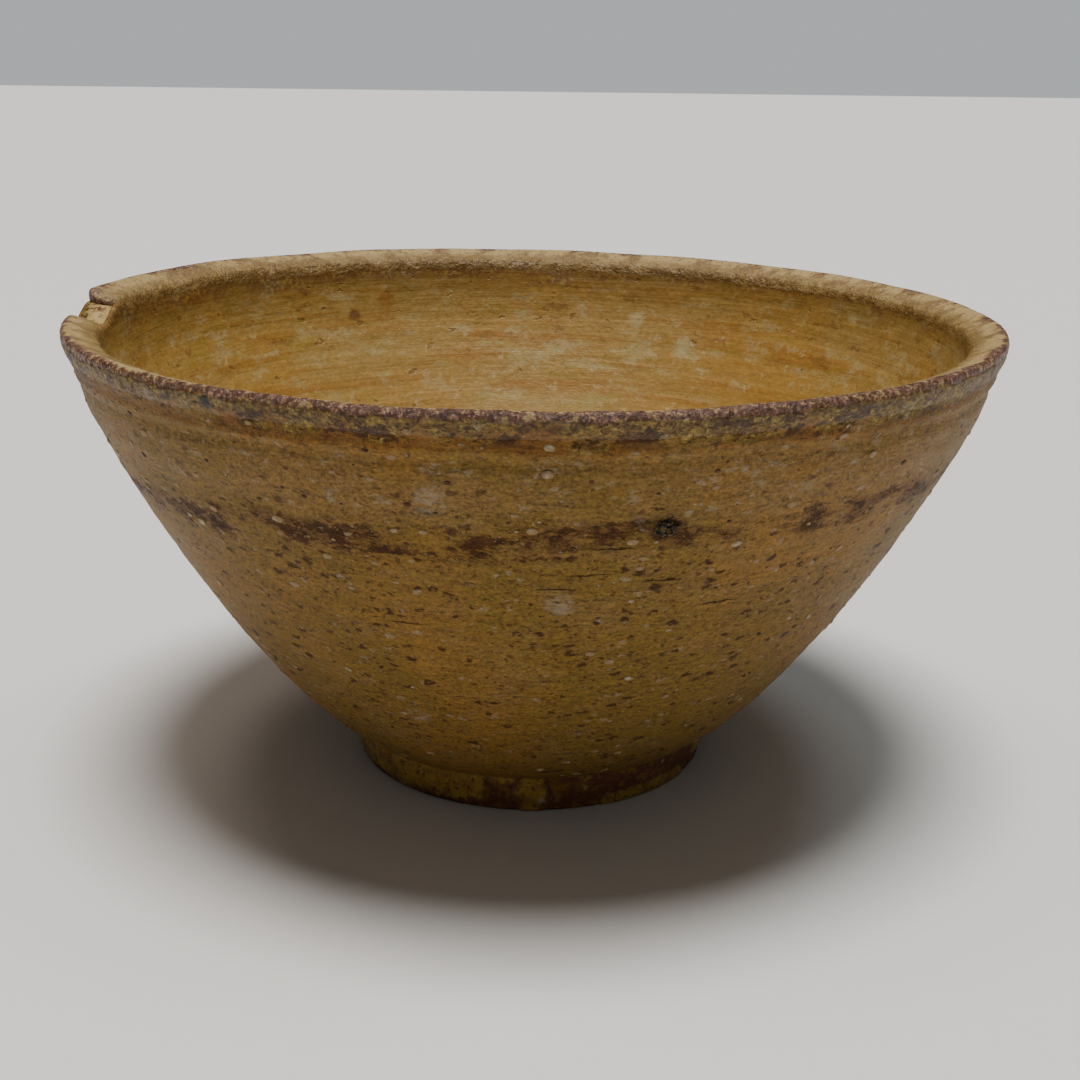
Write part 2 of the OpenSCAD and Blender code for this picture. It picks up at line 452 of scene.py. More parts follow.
def wheel_tree():
    """Turns a section round the bowl's axis. A part turn gets worn ends."""
    recipe, given, keys = new_tree(
        "wheel",
        {
            "Around": "NodeSocketInt",
            "Start": "NodeSocketFloat",
            "Sweep": "NodeSocketFloat",
            "Closed": "NodeSocketFloat",
            "Worn end": "NodeSocketFloat",
            "Ring depth": "NodeSocketFloat",
            "Ring gap": "NodeSocketFloat",
            "Ridge depth": "NodeSocketFloat",
            "Skin lumps": "NodeSocketFloat",
            "Run depth": "NodeSocketFloat",
            "Finish": "NodeSocketMaterial",
        },
    )
    line = given["Geometry"]
    count = recipe.add("GeometryNodeAttributeDomainSize", {"component": "MESH"}, {"Geometry": line})
    grid = recipe.add(
        "GeometryNodeMeshGrid", None, {"Vertices X": given["Around"] + 1, "Vertices Y": count}
    )
    index = recipe.add("GeometryNodeInputIndex")
    station = ((index + 0.5) / count).maths("FLOOR")
    step = index - station * count
    here = recipe.add("GeometryNodeInputPosition")
    point = recipe.add(
        "GeometryNodeSampleIndex",
        {"data_type": "FLOAT_VECTOR", "domain": "POINT"},
        {"Geometry": line, "Value": here, "Index": step + 0.1},
    )
    middle = recipe.add(
        "GeometryNodeAttributeStatistic",
        {"data_type": "FLOAT_VECTOR", "domain": "POINT"},
        {"Geometry": line, "Attribute": here},
        out="Mean",
    )
    even_share = station / given["Around"]
    crowded = even_share - (even_share * 2 * math.pi).maths("SINE") * END_CROWDING
    share = crowded + (even_share - crowded) * given["Closed"]
    angle = given["Start"] + given["Sweep"] * share
    from_end = share.maths("MINIMUM", 1 - share) * given["Sweep"] * MOUTH_R
    worn = (from_end / given["Worn end"] + given["Closed"]).maths("MINIMUM", 1.0)
    girth = (1 - (1 - worn) ** 2.0).maths("MAXIMUM", 0.0).maths("SQRT")
    shrunk = recipe.scaled(recipe.vectors("SUBTRACT", point, middle), girth)
    section = recipe.vectors("ADD", shrunk, middle)
    radius, _, height = recipe.split(section)
    turned = recipe.join(radius * angle.maths("COSINE"), radius * angle.maths("SINE"), height)
    placed = recipe.add("GeometryNodeSetPosition", None, {"Geometry": grid, "Position": turned})
    closed = recipe.add("GeometryNodeMergeByDistance", None, {"Geometry": placed, "Distance": SAME_POINT})
    offset = hand_unevenness(recipe, recipe.add("GeometryNodeInputPosition"), given)
    pushed = recipe.add("GeometryNodeSetPosition", None, {"Geometry": closed, "Offset": offset})
    end_tree(recipe, pushed, given["Finish"])
    return recipe.tree, keys


def grown(name, mesh, tree, keys, values):
    """An object whose mesh is what the tree makes of the given one, with these inputs."""
    piece = bpy.data.objects.new(name, mesh)
    bpy.context.scene.collection.objects.link(piece)
    modifier = piece.modifiers.new("made", "NODES")
    modifier.node_group = tree
    for label, value in values.items():
        modifier[keys[label]] = value
    graph = bpy.context.evaluated_depsgraph_get()
    made = bpy.data.meshes.new_from_object(piece.evaluated_get(graph), depsgraph=graph)
    piece.modifiers.clear()
    piece.data = made
    made.name = name
    return piece


def closed_up(piece):
    """Merges doubled points, turns all faces outwards and smooths the shading."""
    work = bmesh.new()
    work.from_mesh(piece.data)
    bmesh.ops.remove_doubles(work, verts=work.verts, dist=SAME_POINT)
    bmesh.ops.dissolve_degenerate(work, edges=work.edges, dist=0.001 * MM)
    bmesh.ops.recalc_face_normals(work, faces=work.faces)
    for face in work.faces:
        face.smooth = True
    work.to_mesh(piece.data)
    work.free()


def line_mesh(name, points):
    """A section as a mesh of points joined in a row, in the XZ plane."""
    mesh = bpy.data.meshes.new(name)
    rows = [(r, 0.0, z) for r, z in points]
    mesh.from_pydata(rows, [(i, i + 1) for i in range(len(rows) - 1)], [])
    return mesh


WHEEL, WHEEL_KEYS = wheel_tree()
FULL_TURN = {"Start": 0.0, "Sweep": 2 * math.pi, "Closed": 1.0, "Worn end": 1.0}
OUTER_HAND = {
    "Ring depth": OUTER_RING_DEPTH,
    "Ring gap": 1 / OUTER_RING_GAP,
    "Ridge depth": RIDGE_DEPTH,
    "Skin lumps": SKIN_LUMP,
    "Run depth": 0.0,
}
INNER_HAND = {
    **OUTER_HAND,
    "Ring depth": INNER_RING_DEPTH,
    "Ring gap": 1 / INNER_RING_GAP,
    "Ridge depth": 0.0,
}
FOOT_HAND = {**OUTER_HAND, "Ring depth": 0.1 * MM, "Skin lumps": 0.3 * MM}
RUN_HAND = {**FOOT_HAND, "Run depth": 0.3 * MM}


def turned(name, section, around, finish, hand, **turn):
    """A piece turned from a section, closed and plain."""
    values = {"Around": around, **FULL_TURN, **turn, **hand, "Finish": finish}
    piece = grown(name, line_mesh(name, section), WHEEL, WHEEL_KEYS, values)
    closed_up(piece)
    return piece


# Colours of the fired clay and of the ash glaze, as linear red, green and blue.
OCHRE = (0.262, 0.139, 0.028)
OLIVE = (0.205, 0.122, 0.024)
TAN = (0.235, 0.136, 0.042)
ORANGE = (0.185, 0.076, 0.012)
GREEN_YELLOW = (0.29, 0.205, 0.03)
CREAM = (0.52, 0.42, 0.22)
PALE_YELLOW = (0.5, 0.34, 0.13)
DARK_BROWN = (0.050, 0.016, 0.004)
SPECK_BROWN = (0.080, 0.027, 0.007)
RED_BROWN = (0.11, 0.038, 0.01)
PURPLE_BROWN = (0.135, 0.058, 0.038)
BLACK_IRON = (0.018, 0.013, 0.012)
VEILED_WHITE = (0.38, 0.32, 0.21)
# Light pink of the painted glints on the lip: a painted highlight, not a clay colour.
PAINTED_GLINT_PINK = (0.40, 0.21, 0.13)
STONE_WHITE = (0.42, 0.37, 0.27)
WARM_OCHRE = (0.37, 0.21, 0.046)
OLD_STRAW = (0.27, 0.165, 0.042)
STRAW = (0.36, 0.225, 0.06)
MISTY_GREEN = (0.42, 0.35, 0.17)
AMBER = (0.27, 0.115, 0.016)
POOLED_GREEN = (0.22, 0.17, 0.045)
RUN_YELLOW = (0.40, 0.25, 0.028)
RUN_OCHRE = (0.30, 0.16, 0.020)
BARE_CLAY = (0.13, 0.045, 0.018)
SANDY_CLAY = (0.25, 0.115, 0.045)

# Marks of the inside: degrees right of the front, height and radius in mm, and colour.
INNER_MARKS = (
    (161.7, 62.0, 2.2, CREAM),
    (152.0, 57.4, 3.0, MISTY_GREEN),
    (-147.5, 63.0, 1.8, RED_BROWN),
    (-153.4, 65.4, 2.8, AMBER),
)


def new_finish(name):
    """A material's recipe with its Object coordinates and its emptied shader."""
    material = bpy.data.materials.new(name)
    material.use_nodes = True
    recipe = Recipe(material.node_tree)
    place = recipe.add("ShaderNodeTexCoord", None, None, "Object")
    return material, recipe, place


def finish_with(material, recipe, colour, roughness, height, depth, gloss=0.5):
    """Joins a colour, a roughness and a height pattern to the material's shader."""
    shader = material.node_tree.nodes["Principled BSDF"]
    shader.inputs["Specular IOR Level"].default_value = gloss
    bump = recipe.add("ShaderNodeBump", None, {"Strength": 1.0, "Distance": depth, "Height": height})
    for name, wire in (("Base Color", colour), ("Roughness", roughness), ("Normal", bump)):
        recipe.tree.links.new(wire.socket, shader.inputs[name])


def ash_glaze(recipe, place):
    """Colour, roughness and height of the ochre ash glaze on the outside, from lip to foot."""
    x, y, z = recipe.split(place)
    flat = recipe.stretch(place, 1, 1, 2)
    crooked = recipe.warp(place, 1.1 * MM, 0.9 * MM)
    broad = recipe.noise(place, 34 * MM, 2)
    cloud = recipe.noise(flat, 8 * MM, 4, 0.6)
    grain = recipe.noise(flat, 0.9 * MM, 4, 0.7)
    grit = recipe.noise(place, 0.42 * MM, 3, 0.7)
    crumbs = recipe.noise(flat, 1.3 * MM, 4, 0.75)
    thread = recipe.noise(recipe.stretch(place, 0.11, 0.11, 1), 0.75 * MM, 3, 0.6)
    colour = recipe.blend(recipe.ease(broad, 0.40, 0.60), OCHRE, OLIVE)
    colour = recipe.blend(recipe.ease(cloud, 0.46, 0.62) * 0.55, colour, TAN)
    colour = recipe.blend(recipe.ease(crumbs, 0.50, 0.64) * 0.35, colour, ORANGE)

    # The tan belt between the ridge and the streaks.
    belt = recipe.ease(z, 56 * MM, 60 * MM) * recipe.ease(z, RIDGE_Z + 0.4 * MM, RIDGE_Z - 0.8 * MM)
    colour = recipe.blend(belt * recipe.ease(cloud, 0.3, 0.6) * 0.6, colour, TAN)

    # The orange belt above the ridge, and the crust of yellow and brown crumbs below the lip.
    uneven = (recipe.noise(place, 5 * MM, 3) - 0.5) * 10 * MM
    orange = recipe.ease(z + uneven * 0.3, RIDGE_Z - 0.3 * MM, RIDGE_Z + 0.5 * MM)
    colour = recipe.blend(orange * recipe.ease(cloud, 0.66, 0.46) * 0.8, colour, ORANGE)
    crust = recipe.ease(z + uneven + (crumbs - 0.5) * 5 * MM, CRUST_Z - 1.6 * MM, CRUST_Z + 0.6 * MM)
    scab = recipe.noise(recipe.stretch(crooked, 1, 1, 1.5), 1.0 * MM, 4, 0.8)
    crust_colour = recipe.blend(recipe.ease(scab, 0.43, 0.50), GREEN_YELLOW, OLIVE)
    crust_colour = recipe.blend(recipe.ease(scab, 0.52, 0.57), crust_colour, DARK_BROWN)
    crust_colour = recipe.blend(recipe.ease(scab, 0.41, 0.36) * 0.5, crust_colour, CREAM)
    colour = recipe.blend(crust * 0.8, colour, crust_colour)
    patches = recipe.ease(recipe.noise(flat, 6 * MM, 4, 0.7) + (scab - 0.5) * 0.45, 0.50, 0.58)
    under = recipe.ease(z, CRUST_Z - 2.4 * MM, CRUST_Z - 0.6 * MM)
    under = under * recipe.ease(z, CRUST_Z + 3 * MM, CRUST_Z)
    colour = recipe.blend(patches * under * 0.85, colour, DARK_BROWN)

    # Broken brown streaks in a belt that runs round a little out of level.
    middle = STREAK_Z + x * 0.03 + (recipe.noise(place, 45 * MM, 1) - 0.5) * 5 * MM
    off = (z - middle).maths("ABSOLUTE")
    ragged = recipe.noise(recipe.stretch(crooked, 0.30, 0.30, 1), 1.4 * MM, 5, 0.8)
    hairs = recipe.noise(recipe.stretch(crooked, 0.05, 0.05, 1), 0.42 * MM, 2, 0.5)
    belt_share = recipe.ease(off, 4.2 * MM, 0.8 * MM)
    belt_share = belt_share * recipe.ease(recipe.noise(place, 11 * MM, 2), 0.38, 0.56, 0.2, 1.0)
    halo = recipe.ease(ragged + belt_share * 0.2, 0.56, 0.66) * belt_share
    colour = recipe.blend(halo * 0.6, colour, RED_BROWN)
    streaks = recipe.ease(ragged + belt_share * 0.10, 0.595, 0.65) * belt_share
    streaks = (recipe.ease(hairs, 0.61, 0.68) * belt_share + streaks).maths("MINIMUM", 1.0)
    colour = recipe.blend(streaks * 0.88, colour, DARK_BROWN)
    faint = recipe.ease(ragged, 0.60, 0.68) * recipe.ease(z, 18 * MM, 34 * MM)
    colour = recipe.blend(faint * 0.45, colour, RED_BROWN)

    # Throwing lines and grain.
    colour = recipe.scaled(colour, 1 + (thread - 0.5) * 0.7 + (grain - 0.5) * 1.8 + (grit - 0.5) * 1.9)

    # Brown specks, drawn out sideways, thicker in some places than in others.
    sparse = recipe.noise(place, 16 * MM, 2)
    fine = recipe.specks(recipe.stretch(crooked, 0.8, 0.8, 1.5), 0.85 * MM, 0.8, 0.14 * MM, 0.42 * MM)
    fine = fine * recipe.ease(sparse, 0.34, 0.52)
    coarse = recipe.specks(recipe.stretch(crooked, 0.7, 0.7, 1.3), 1.5 * MM, 0.62, 0.16 * MM, 0.72 * MM)
    low = recipe.ease(z, 64 * MM, 50 * MM, 0.45, 1.0)
    colour = recipe.blend(fine * low * 0.75, colour, SPECK_BROWN)
    coarse = coarse * recipe.ease(crumbs, 0.38, 0.48) * recipe.ease(z, 66 * MM, 50 * MM, 0.55, 1.0)
    colour = recipe.blend(coarse * 0.9, colour, DARK_BROWN)

    # Pale feldspar showing through, and rubbed places.
    pale = recipe.specks(recipe.stretch(crooked, 0.9, 0.9, 1.3), 1.5 * MM, 0.32, 0.14 * MM, 0.7 * MM)
    pale = pale * recipe.ease(grain, 0.62, 0.40)
    colour = recipe.blend(pale * 0.45, colour, STONE_WHITE)
    rubbed = recipe.ease(recipe.noise(flat, 4.5 * MM, 5, 0.75), 0.56, 0.66) * belt * 0.8
    for turn, height, radius in RUBBED_SPOTS:
        spot = recipe.spot(crooked, on_line(outside, turn, height), radius * MM)
        rubbed = rubbed + spot * recipe.ease(crumbs, 0.42, 0.58)
    rubbed = rubbed.maths("MINIMUM", 1.0)
    colour = recipe.blend(rubbed * 0.4, colour, STONE_WHITE)

    # Hairline tears of the throwing, and the scorched glaze round the burst stone.
    tears = 0
    wander = (crumbs - 0.5) * 1.2 * MM
    stroke = recipe.join(x * TEAR_STRETCH, y * TEAR_STRETCH, z + wander)
    for turn, height in TEARS:
        middle = on_line(outside, turn, height)
        near = Vector((middle.x * TEAR_STRETCH, middle.y * TEAR_STRETCH, middle.z))
        tears = recipe.spot(stroke, near, 0.16 * MM) * recipe.ease(grain, 0.34, 0.46) + tears
    tears = tears.maths("MINIMUM", 1.0)
    colour = recipe.blend(tears * 0.92, colour, DARK_BROWN)
    scorched = recipe.spot(crooked, BURST, 3.4 * MM)
    colour = recipe.blend(scorched * recipe.ease(grit, 0.50, 0.56) * 0.9, colour, BLACK_IRON)

    height = grain * 0.8 + thread * 0.5 + grit * 0.45 + scab * crust * 1.1
    height = height - coarse * 0.25 - tears * 0.8 + pale * 0.25 - streaks * 0.3
    roughness = 0.52 + (grain - 0.5) * 0.5 + streaks * 0.1 - crust * 0.08 + rubbed * 0.1
    return colour, roughness, height


def make_outer_glaze():
    material, recipe, place = new_finish("ochre_ash_glaze")
    colour, roughness, height = ash_glaze(recipe, place)
    finish_with(material, recipe, colour, roughness, height, 0.42 * MM, 0.16)
    return material


def make_lip_finish():
    """The worn lip: iron-brown edge with crumbs and painted glints, a pale inner slope, glaze below the edge.
    """
    material, recipe, place = new_finish("worn_lip")
    glaze, _, glaze_height = ash_glaze(recipe, place)
    x, y, z = recipe.split(place)
    radius = (x * x + y * y).maths("SQRT")
    crumbs = recipe.noise(place, 0.9 * MM, 4, 0.75)
    glints = recipe.noise(place, 0.55 * MM, 2, 0.55)
    patchy = recipe.noise(place, 4.5 * MM, 4, 0.65)
    worn = recipe.blend(recipe.ease(patchy, 0.44, 0.56), RED_BROWN, PURPLE_BROWN)
    worn = recipe.blend(recipe.ease(crumbs, 0.52, 0.58), worn, DARK_BROWN)
    worn = recipe.blend(recipe.ease(crumbs, 0.45, 0.40) * 0.7, worn, PALE_YELLOW)
    # Painted glints: light pink highlight flecks laid into the lip colour where the glint noise is high.
    worn = recipe.blend(recipe.ease(glints, 0.56, 0.66) * 0.5, worn, PAINTED_GLINT_PINK)
    slope = recipe.blend(recipe.ease(patchy, 0.44, 0.60), PALE_YELLOW, TAN)
    slope = recipe.blend(recipe.ease(crumbs, 0.56, 0.62) * 0.6, slope, RED_BROWN)
    slope = recipe.blend(recipe.ease(crumbs, 0.43, 0.37) * 0.6, slope, CREAM)
    uneven = (patchy - 0.5) * 4.5 * MM + (crumbs - 0.5) * 2.4 * MM
    outer_edge = recipe.ease(radius + uneven, MOUTH_R - 1.5 * MM, MOUTH_R - 0.9 * MM)
    inner_edge = recipe.ease(radius + uneven, MOUTH_R - 3.2 * MM, MOUTH_R - 4.6 * MM)
    mixed = recipe.blend(recipe.ease(crumbs, 0.48, 0.58) * 0.6, OLD_STRAW, RED_BROWN)
    colour = recipe.blend(outer_edge, slope, worn)
    colour = recipe.blend(inner_edge * recipe.ease(patchy, 0.38, 0.54, 0.55, 0.95), colour, mixed)
    face = recipe.ease(z + uneven * 0.35, SEAT_Z + 1.2 * MM, SEAT_Z + 0.6 * MM)
    face = face * recipe.ease(radius, MOUTH_R - 2.0 * MM, MOUTH_R - 1.2 * MM)
    colour = recipe.blend(face, colour, glaze)

    # The strip's ends are darker, and a black blister sits in the edge.
    low_end = recipe.spot(place, lip_point(LOW_END), 4.5 * MM)
    far_end = recipe.spot(place, lip_point(LOW_END - END_GAP), 4.0 * MM)
    dark_ends = (low_end * 0.5 + far_end) * recipe.ease(patchy, 0.30, 0.5)
    colour = recipe.blend(dark_ends.maths("MINIMUM", 0.9), colour, PURPLE_BROWN)
    black = recipe.spot(place, on_line(outside, -33.7, 71.0), 1.3 * MM)
    colour = recipe.blend(black, colour, BLACK_IRON)
    # The crumbs vary the tone at random; the glints term brightens the colour as a painted highlight.
    colour = recipe.scaled(colour, 0.3 + crumbs * 0.8 + glints * 0.6)
    roughness = 0.22 + crumbs * 0.3 + face * 0.12 - black * 0.1
    height = crumbs * 0.9 + patchy * 0.4 + glints * 0.55 * (1 - face) + face * glaze_height * 0.5
    finish_with(material, recipe, colour, roughness, height, 0.5 * MM)
    return material


def make_inner_glaze():
    """Smoother, warmer glaze with soft throwing rings, pooled green in the tea hollow."""
    material, recipe, place = new_finish("warm_ash_glaze")
    _, _, z = recipe.split(place)
    crooked = recipe.warp(place, 2.0 * MM, 1.6 * MM)
    rings = recipe.noise(recipe.stretch(place, 0.06, 0.06, 1), 2.4 * MM, 4, 0.6)
    broad = recipe.noise(place, 26 * MM, 2)
    cloud = recipe.noise(recipe.stretch(place, 1, 1, 1.6), 7 * MM, 4, 0.6)
    drawn = recipe.noise(recipe.stretch(crooked, 0.4, 0.4, 1.3), 3.2 * MM, 4, 0.7)
    grain = recipe.noise(place, 0.9 * MM, 3, 0.6)
    colour = recipe.blend(recipe.ease(broad, 0.35, 0.65), WARM_OCHRE, STRAW)
    colour = recipe.blend(recipe.ease(rings, 0.50, 0.62) * 0.55, colour, AMBER)
    colour = recipe.blend(recipe.ease(cloud, 0.55, 0.68) * 0.5, colour, GREEN_YELLOW)
    misty = recipe.ease(drawn, 0.52, 0.64) * recipe.ease(z, 40 * MM, 56 * MM, 0.35, 1.0)
    colour = recipe.blend(misty * 0.5, colour, MISTY_GREEN)
    pale = recipe.ease(recipe.noise(recipe.stretch(crooked, 1, 1, 1.3), 3.4 * MM, 4, 0.65), 0.60, 0.70)
    colour = recipe.blend(pale * 0.5, colour, CREAM)
    rusty = recipe.ease(drawn, 0.42, 0.36) * recipe.ease(z, 52 * MM, 62 * MM)
    colour = recipe.blend(rusty * 0.45, colour, RED_BROWN)
    top = recipe.ease(z, 61 * MM, 70 * MM) * recipe.ease(cloud, 0.66, 0.42)
    colour = recipe.blend(top * 0.7, colour, OLIVE)
    edge = recipe.ease(z + (cloud - 0.5) * 14 * MM, SEAT_Z - 3 * MM, SEAT_Z)
    colour = recipe.blend(edge * recipe.ease(grain, 0.35, 0.55) * 0.7, colour, RED_BROWN)
    brown = recipe.specks(recipe.stretch(crooked, 1, 1, 1.6), 3.4 * MM, 0.3, 0.3 * MM, 1.0 * MM)
    fine = recipe.specks(crooked, 1.3 * MM, 0.35, 0.1 * MM, 0.4 * MM)
    colour = recipe.blend(brown * 0.4 + fine * 0.3, colour, RED_BROWN)
    for turn, height, radius, tint in INNER_MARKS:
        spot = recipe.spot(crooked, on_line(inside, turn, height), radius * MM)
        colour = recipe.blend(spot * recipe.ease(cloud, 0.35, 0.5, 0.45, 0.75), colour, tint)
    pool = recipe.ease(z, inside[0][1] + 5 * MM, inside[0][1] + 1 * MM)
    colour = recipe.blend(pool * 0.7, colour, POOLED_GREEN)
    colour = recipe.scaled(colour, 1 + (rings - 0.5) * 0.5 + (grain - 0.5) * 0.6)
    roughness = 0.42 + grain * 0.12 - pool * 0.04
    height = grain * 0.45 + cloud * 0.5 + rings * 0.9 - brown * 0.3
    finish_with(material, recipe, colour, roughness, height, 0.28 * MM, 0.35)
    return material


def clay_look(recipe, place):
    """Colour, height and sandiness of coarse fired clay."""
    sand = recipe.noise(place, 0.7 * MM, 4, 0.7)
    patchy = recipe.noise(place, 6 * MM, 3, 0.6)
    turned_marks = recipe.noise(recipe.stretch(place, 0.12, 0.12, 1), 0.9 * MM, 3, 0.6)
    colour = recipe.blend(recipe.ease(patchy, 0.40, 0.60), BARE_CLAY, RED_BROWN)
    colour = recipe.blend(recipe.ease(sand, 0.55, 0.66) * 0.6, colour, SANDY_CLAY)
    colour = recipe.blend(recipe.ease(sand, 0.42, 0.34) * 0.8, colour, DARK_BROWN)
    stones = recipe.specks(place, 3.4 * MM, 0.22, 0.15 * MM, 0.6 * MM)
    colour = recipe.blend(stones * 0.7, colour, STONE_WHITE)
    height = sand * 0.9 + turned_marks * 0.5 + stones * 0.4
    return colour, height, sand


def make_body_clay():
    """Bare clay under the bowl. The seat between the strip's ends has caught glaze."""
    material, recipe, place = new_finish("body_clay")
    colour, height, sand = clay_look(recipe, place)
    _, _, z = recipe.split(place)
    caught = recipe.ease(z, SEAT_Z - 0.8 * MM, SEAT_Z - 0.2 * MM)
    crumbs = recipe.noise(place, 1.3 * MM, 4, 0.7)
    glazed = recipe.blend(recipe.ease(crumbs, 0.50, 0.62), PALE_YELLOW, RED_BROWN)
    colour = recipe.blend(caught, colour, glazed)
    finish_with(material, recipe, colour, 0.78 - caught * 0.35 + sand * 0.1, height, 0.3 * MM, 0.3)
    return material


def make_foot_clay():
    """The foot's clay, dusted with ash on its outside."""
    material, recipe, place = new_finish("foot_clay")
    colour, height, sand = clay_look(recipe, place)
    dust = recipe.noise(place, 2.6 * MM, 4, 0.75)
    colour = recipe.blend(recipe.ease(dust, 0.50, 0.60) * 0.55, colour, RUN_OCHRE)
    finish_with(material, recipe, colour, 0.62 + sand * 0.2, height, 0.35 * MM, 0.35)
    return material


def make_run_glaze():
    """Glaze that ran over the foot: ochre where it is thick, iron-brown where it thins out."""
    material, recipe, place = new_finish("foot_run_glaze")
    cover = run_cover(recipe, place)
    crooked = recipe.warp(place, 1.1 * MM, 0.9 * MM)
    crumbs = recipe.noise(place, 1.1 * MM, 4, 0.7)
    cloud = recipe.noise(place, 3 * MM, 4, 0.65)
    colour = recipe.blend(recipe.ease(cloud, 0.42, 0.58), RUN_OCHRE, RUN_YELLOW)
    thin = recipe.ease(cover + (crumbs - 0.5) * 0.9 + (cloud - 0.5) * 0.8, 1.0, 0.62)
    colour = recipe.blend(thin * 0.85, colour, RED_BROWN)
    blotches = recipe.ease(cloud + (crumbs - 0.5) * 0.5, 0.53, 0.62)
    colour = recipe.blend(blotches * 0.7, colour, RED_BROWN)
    colour = recipe.blend(recipe.ease(crumbs, 0.55, 0.63) * 0.75, colour, DARK_BROWN)
    stones = recipe.specks(crooked, 1.6 * MM, 0.25, 0.15 * MM, 0.6 * MM)
    colour = recipe.blend(stones * 0.55, colour, STONE_WHITE)
    finish_with(material, recipe, colour, 0.34 + crumbs * 0.2, crumbs * 0.9 + cloud * 0.8, 0.4 * MM)
    return material


def make_stone_finish():
    """White feldspar, veiled in places by the glaze round it."""
    material, recipe, place = new_finish("feldspar_stone")
    veil = recipe.noise(place, 1.1 * MM, 3, 0.65)
    colour = recipe.blend(recipe.ease(veil, 0.30, 0.50) * 0.92, VEILED_WHITE, TAN)
    finish_with(material, recipe, colour, 0.45 + veil * 0.2, veil, 0.1 * MM)
    return material


def make_iron_finish():
    """Iron-bearing stone melted to a dark gloss, browner on the small grains."""
    material, recipe, place = new_finish("iron_melt")
    mottle = recipe.noise(place, 0.7 * MM, 3, 0.65)
    near_burst = recipe.spot(place, BURST, 5 * MM)
    brown = recipe.blend(recipe.ease(mottle, 0.40, 0.60), RED_BROWN, DARK_BROWN)
    colour = recipe.blend(near_burst, brown, BLACK_IRON)
    ash = recipe.ease(recipe.noise(place, 0.45 * MM, 3, 0.7), 0.50, 0.58) * near_burst
    colour = recipe.blend(ash * 0.8, colour, OLIVE)
    finish_with(material, recipe, colour, 0.3 + mottle * 0.25, mottle, 0.3 * MM, 0.3)
    return material


def moved_aside(points, depth, first):
    """A line moved to the left of its way by depth. Its first point goes a given way, its last inwards."""
    way = np.gradient(points, axis=0)
    left = np.stack([-way[:, 1], way[:, 0]], axis=1)
    left /= np.linalg.norm(left, axis=1)[:, None]
    left[0] = first
    left[-1] = (-1.0, 0.0)
    return points + depth * left


def make_outer_coat():
    back = even(moved_aside(outside, COAT, (-1.0, 0.0)), 20)[::-1]
    section = np.concatenate([outside, back, outside[:1]])
    piece = turned("outer_coat", section, 570, make_outer_glaze(), OUTER_HAND)
    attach(piece, "root")
    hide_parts("outer_glaze")
    return piece


def make_inner_coat():
    under = even(moved_aside(inside, -COAT, (0.0, 1.0)), 24)[::-1]
    section = np.concatenate([inside, under])
    piece = turned("inner_coat", section, 640, make_inner_glaze(), INNER_HAND)
    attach(piece, "root")
    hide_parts("inner_glaze")


outer_coat = make_outer_coat()
make_inner_coat()


def make_body():
    """The clay between the coats, with its trimmed underside."""
    shrink = 0.15 * MM
    outer = even(outside - (COAT + shrink, 0), 50)
    inner = inside + (COAT * 0.9, -COAT * 0.9)
    inner[0] = (0.0, inside[0][1] - COAT)
    inner = even(inner, 40)[::-1]
    under = under_line(40)
    section = np.concatenate([under[:-1], outer, inner])
    section[:, 0] = np.maximum(section[:, 0], 0.0)
    piece = turned("clay_body", section, 360, make_body_clay(), INNER_HAND)
    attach(piece, "root")
    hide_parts("bowl_wall")


def make_foot():
    outer, inner = foot_lines(24)
    base = even([inner[0], outer[0]], 14)
    top = even([outer[-1], inner[-1]], 6)
    section = np.concatenate([outer, top[1:-1], inner[::-1], base[1:]])
    piece = turned("foot", section, 480, make_foot_clay(), FOOT_HAND)
    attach(piece, "root")
    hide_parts("foot_ring")


def make_strip():
    """The strip round the lip, feathered over the coats below it, with worn corners and ends."""
    top = strip_top_line(60)
    outer_start = outside[outside[:, 1] < SEAT_Z - 2.2 * MM][-1] - (0.3 * MM, 0)
    outer_over = outside[outside[:, 1] < SEAT_Z - 1.1 * MM][-1] + (0.05 * MM, 0)
    inner_start = inside[inside[:, 1] < SEAT_Z - 2.0 * MM][-1] + (0.3 * MM, 0)
    inner_over = inside[inside[:, 1] < SEAT_Z - 0.9 * MM][-1] - (0.05 * MM, 0)
    inner_side = [inner_start, inner_over, inside[-1] - (0.06 * MM, 0)]
    outer_side = [outside[-1] + (0.15 * MM, 0), outer_over, outer_start]
    skin = softened(even(np.concatenate([inner_side, top, outer_side]), 62), STRIP_WEAR)
    base = even([skin[-1], (skin[-1][0] - 0.5 * MM, SEAT_Z), (skin[0][0] + 0.5 * MM, SEAT_Z), skin[0]], 8)
    section = np.concatenate([skin, base[1:]])
    turn = {
        "Start": LOW_END,
        "Sweep": 2 * math.pi - END_GAP,
        "Closed": 0.0,
        "Worn end": 2.6 * MM,
    }
    piece = turned("rim", section, 1400, make_lip_finish(), OUTER_HAND, **turn)
    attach(piece, "root")
    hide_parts("rim_strip")


def make_foot_runs():
    """A skin of glaze over the foot's outside, which dips into the clay where no glaze has run."""
    outer, _ = foot_lines(40)
    skin = outer[outer[:, 1] > 0.35 * MM]
    buried = even([skin[-1] - (1.6 * MM, 0), skin[0] + (-1.6 * MM, 0.6 * MM)], 8)
    section = np.concatenate([skin, buried, skin[:1]])
    piece = turned("foot_runs", section, 700, make_run_glaze(), RUN_HAND)
    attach(piece, "root")
    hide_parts("foot_glaze")


make_body()
make_foot()
make_foot_runs()
make_strip()


# Stones in the skin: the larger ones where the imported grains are, and small ones strewn over the coat.

